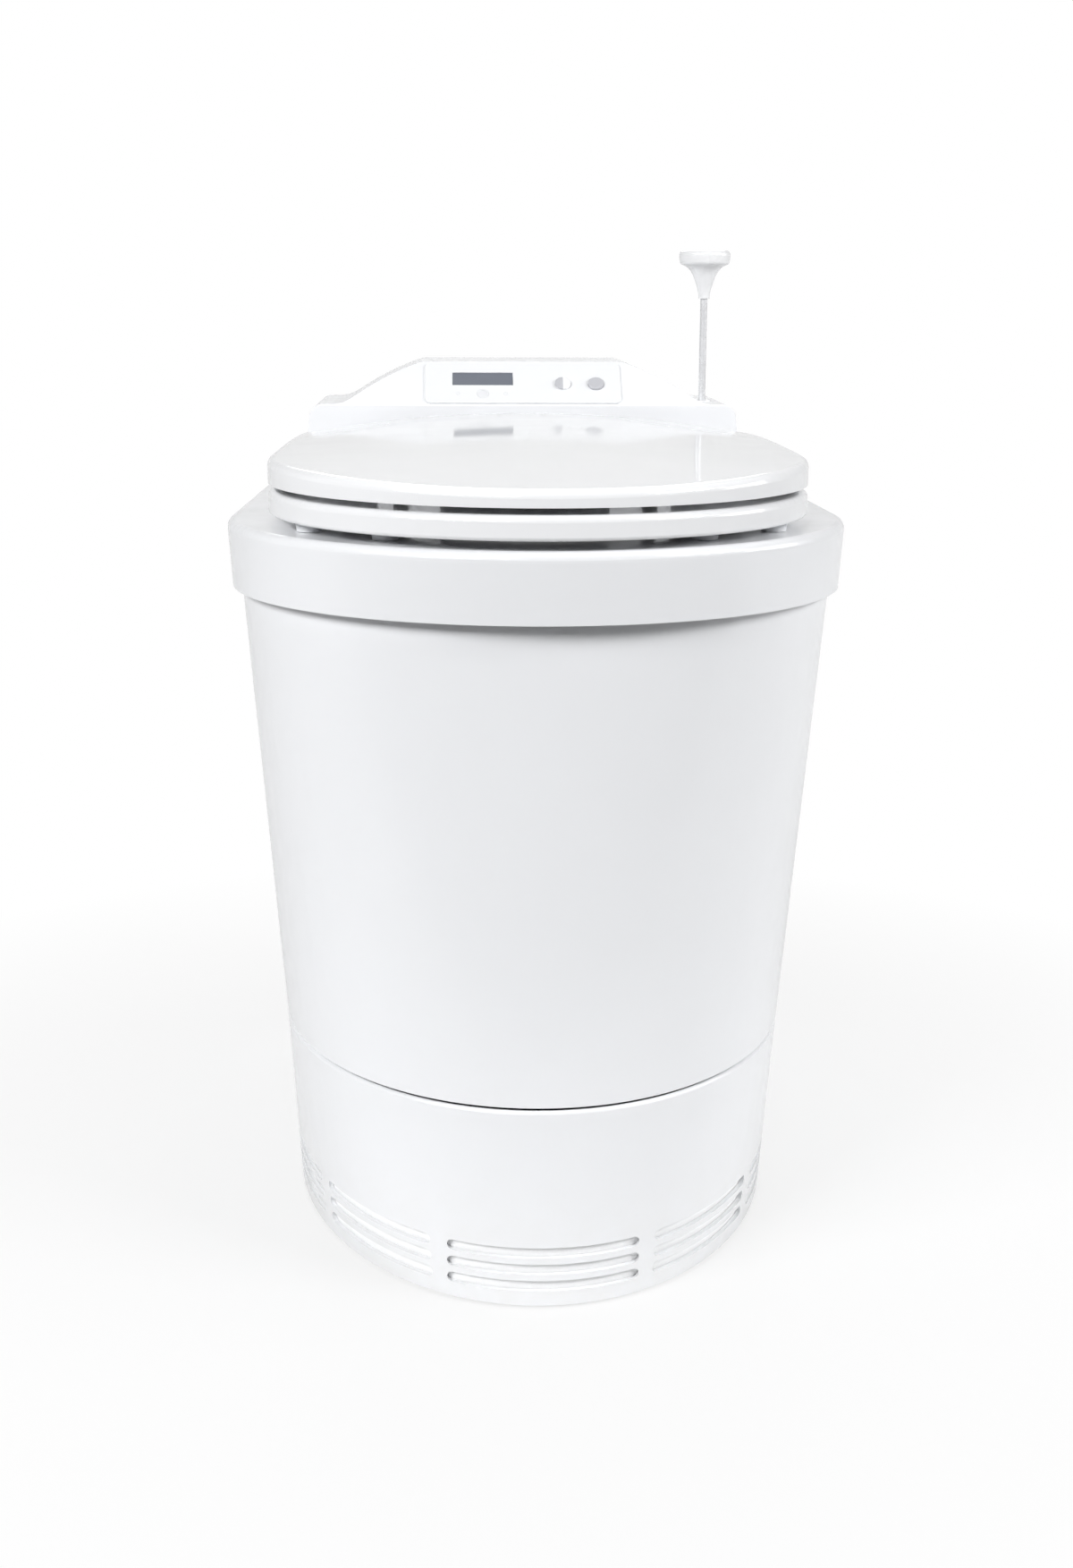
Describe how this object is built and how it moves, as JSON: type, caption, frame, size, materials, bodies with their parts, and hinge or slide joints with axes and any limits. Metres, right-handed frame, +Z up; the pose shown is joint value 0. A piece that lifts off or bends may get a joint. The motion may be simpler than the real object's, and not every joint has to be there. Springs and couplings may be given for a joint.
{
  "type": "incinerating toilet",
  "caption": "Floor-standing incinerating toilet with a seat and lid, a sloping control panel, a push-down flush plunger that opens a parting bowl, and a drawer base with vent slots.",
  "frame": {"origin": "on the floor under the middle of the overall width and depth", "axes": "+X to the right as seen from the front, +Y to the back, +Z up"},
  "size_m": [0.39, 0.6, 0.638],
  "materials": {
    "shell_white": "glossy",
    "seat_white": "glossy",
    "knob_white": "glossy",
    "panel_white": "satin",
    "display_glass": "tinted",
    "board_green": "satin",
    "button_white": "glossy",
    "button_grey": "satin",
    "clear_guide": "frosted",
    "chrome": "polished",
    "stainless": "brushed",
    "heat_steel": "heat tinted",
    "zinc_steel": "zinc plated",
    "white_steel": "powder coated",
    "black_rubber": "matte",
    "grey_rubber": "matte",
    "white_rubber": "matte",
    "black_plastic": "matte",
    "gear_plastic": "matte",
    "mineral_wool": "fibrous",
    "ceramic": "matte",
    "grate_iron": "rough",
    "brass": "turned"
  },
  "bodies": {
    "base": {"floor_pan": "zinc_steel", "rubber_feet": "black_rubber", "chassis_channels": "zinc_steel", "firebox_deck": "zinc_steel", "body_shell": "shell_white", "rear_skirt": "shell_white", "fire_chamber": "heat_steel", "insulation": "mineral_wool", "heat_shield": "stainless", "firebox_cover": "heat_steel", "fire_grate": "grate_iron", "heating_element": "heat_steel", "heater_terminal": "ceramic", "temperature_probe": "brass", "bowl": "stainless", "bowl_gasket": "grey_rubber", "hatch_frame": "stainless", "gear_bracket": "zinc_steel", "rod_bushes": "panel_white", "collar": "shell_white", "console_housing": "shell_white", "control_panel": "panel_white", "display_window": "display_glass", "circuit_board": "board_green", "button_pads": "grey_rubber", "light_guides": "clear_guide", "hinge_brackets": "panel_white", "catalyst_can": "stainless", "catalyst_core": "ceramic", "fan_housing": "zinc_steel", "fan_motor": "black_plastic", "flue_spigot": "stainless", "back_panel": "white_steel", "back_screws": "stainless", "power_inlet": "black_plastic", "power_supply": "zinc_steel"},
    "ash_drawer": {"drawer_front": "shell_white", "ash_pan": "stainless", "drawer_slides": "zinc_steel", "drawer_bracket": "zinc_steel"},
    "seat": {"seat_ring": "seat_white", "seat_bumpers": "white_rubber", "hinge_pins": "chrome"},
    "lid": {"lid": "seat_white", "lid_bumpers": "white_rubber"},
    "plunger": {"plunger_rod": "chrome", "plunger_knob": "knob_white", "rack_bar": "gear_plastic"},
    "hatch_right": {"hatch_right": "stainless", "hatch_shaft_right": "stainless", "sector_right": "gear_plastic", "pinion": "gear_plastic", "return_spring": "stainless"},
    "hatch_left": {"hatch_left": "stainless", "hatch_shaft_left": "stainless", "sector_left": "gear_plastic"},
    "idler": {"idler_gear": "gear_plastic"},
    "fan": {"fan_impeller": "black_plastic"},
    "start_button": {"start_button": "button_white"},
    "stop_button": {"stop_button": "button_grey"}
  },
  "joints": [
    {"name": "drawer_slide", "type": "slide", "parent": "base", "child": "ash_drawer", "axis": [0, -1, 0], "range_m": [0, 0.26]},
    {"name": "seat_hinge", "type": "hinge", "parent": "base", "child": "seat", "pos_m": [0, 0.081, 0.487], "axis": [-1, 0, 0], "range_deg": [0, 95]},
    {"name": "lid_hinge", "type": "hinge", "parent": "seat", "child": "lid", "pos_m": [0, 0.081, 0.487], "axis": [1, 0, 0], "range_deg": [-95, 0]},
    {"name": "plunger_slide", "type": "slide", "parent": "base", "child": "plunger", "axis": [0, 0, -1], "range_m": [0, 0.05445], "stiffness_N_per_m": 400, "springref_m": -0.03},
    {"name": "hatch_right_turn", "type": "hinge", "parent": "base", "child": "hatch_right", "pos_m": [0.08, -0.094, 0.33], "axis": [0, -1, 0], "range_deg": [0, 78.1]},
    {"name": "hatch_left_turn", "type": "hinge", "parent": "base", "child": "hatch_left", "pos_m": [-0.08, -0.094, 0.33], "axis": [0, 1, 0], "range_deg": [0, 78.1]},
    {"name": "idler_turn", "type": "hinge", "parent": "base", "child": "idler", "pos_m": [0.113, 0.16, 0.38011], "axis": [0, 1, 0], "range_deg": [0, 156.2]},
    {"name": "fan_turn", "type": "hinge", "parent": "base", "child": "fan", "pos_m": [0, 0.16, 0.195], "axis": [0, 1, 0], "continuous": true},
    {"name": "start_press", "type": "slide", "parent": "base", "child": "start_button", "axis": [0, 0.6847, -0.7288], "range_m": [0, 0.0015], "stiffness_N_per_m": 500, "springref_m": -0.002},
    {"name": "stop_press", "type": "slide", "parent": "base", "child": "stop_button", "axis": [0, 0.6847, -0.7288], "range_m": [0, 0.0015], "stiffness_N_per_m": 500, "springref_m": -0.002}
  ],
  "couplings": [
    {"joint": "hatch_right_turn", "follows": "plunger_slide", "rad_per_m": 25},
    {"joint": "hatch_left_turn", "follows": "plunger_slide", "rad_per_m": 25},
    {"joint": "idler_turn", "follows": "plunger_slide", "rad_per_m": 50}
  ]
}
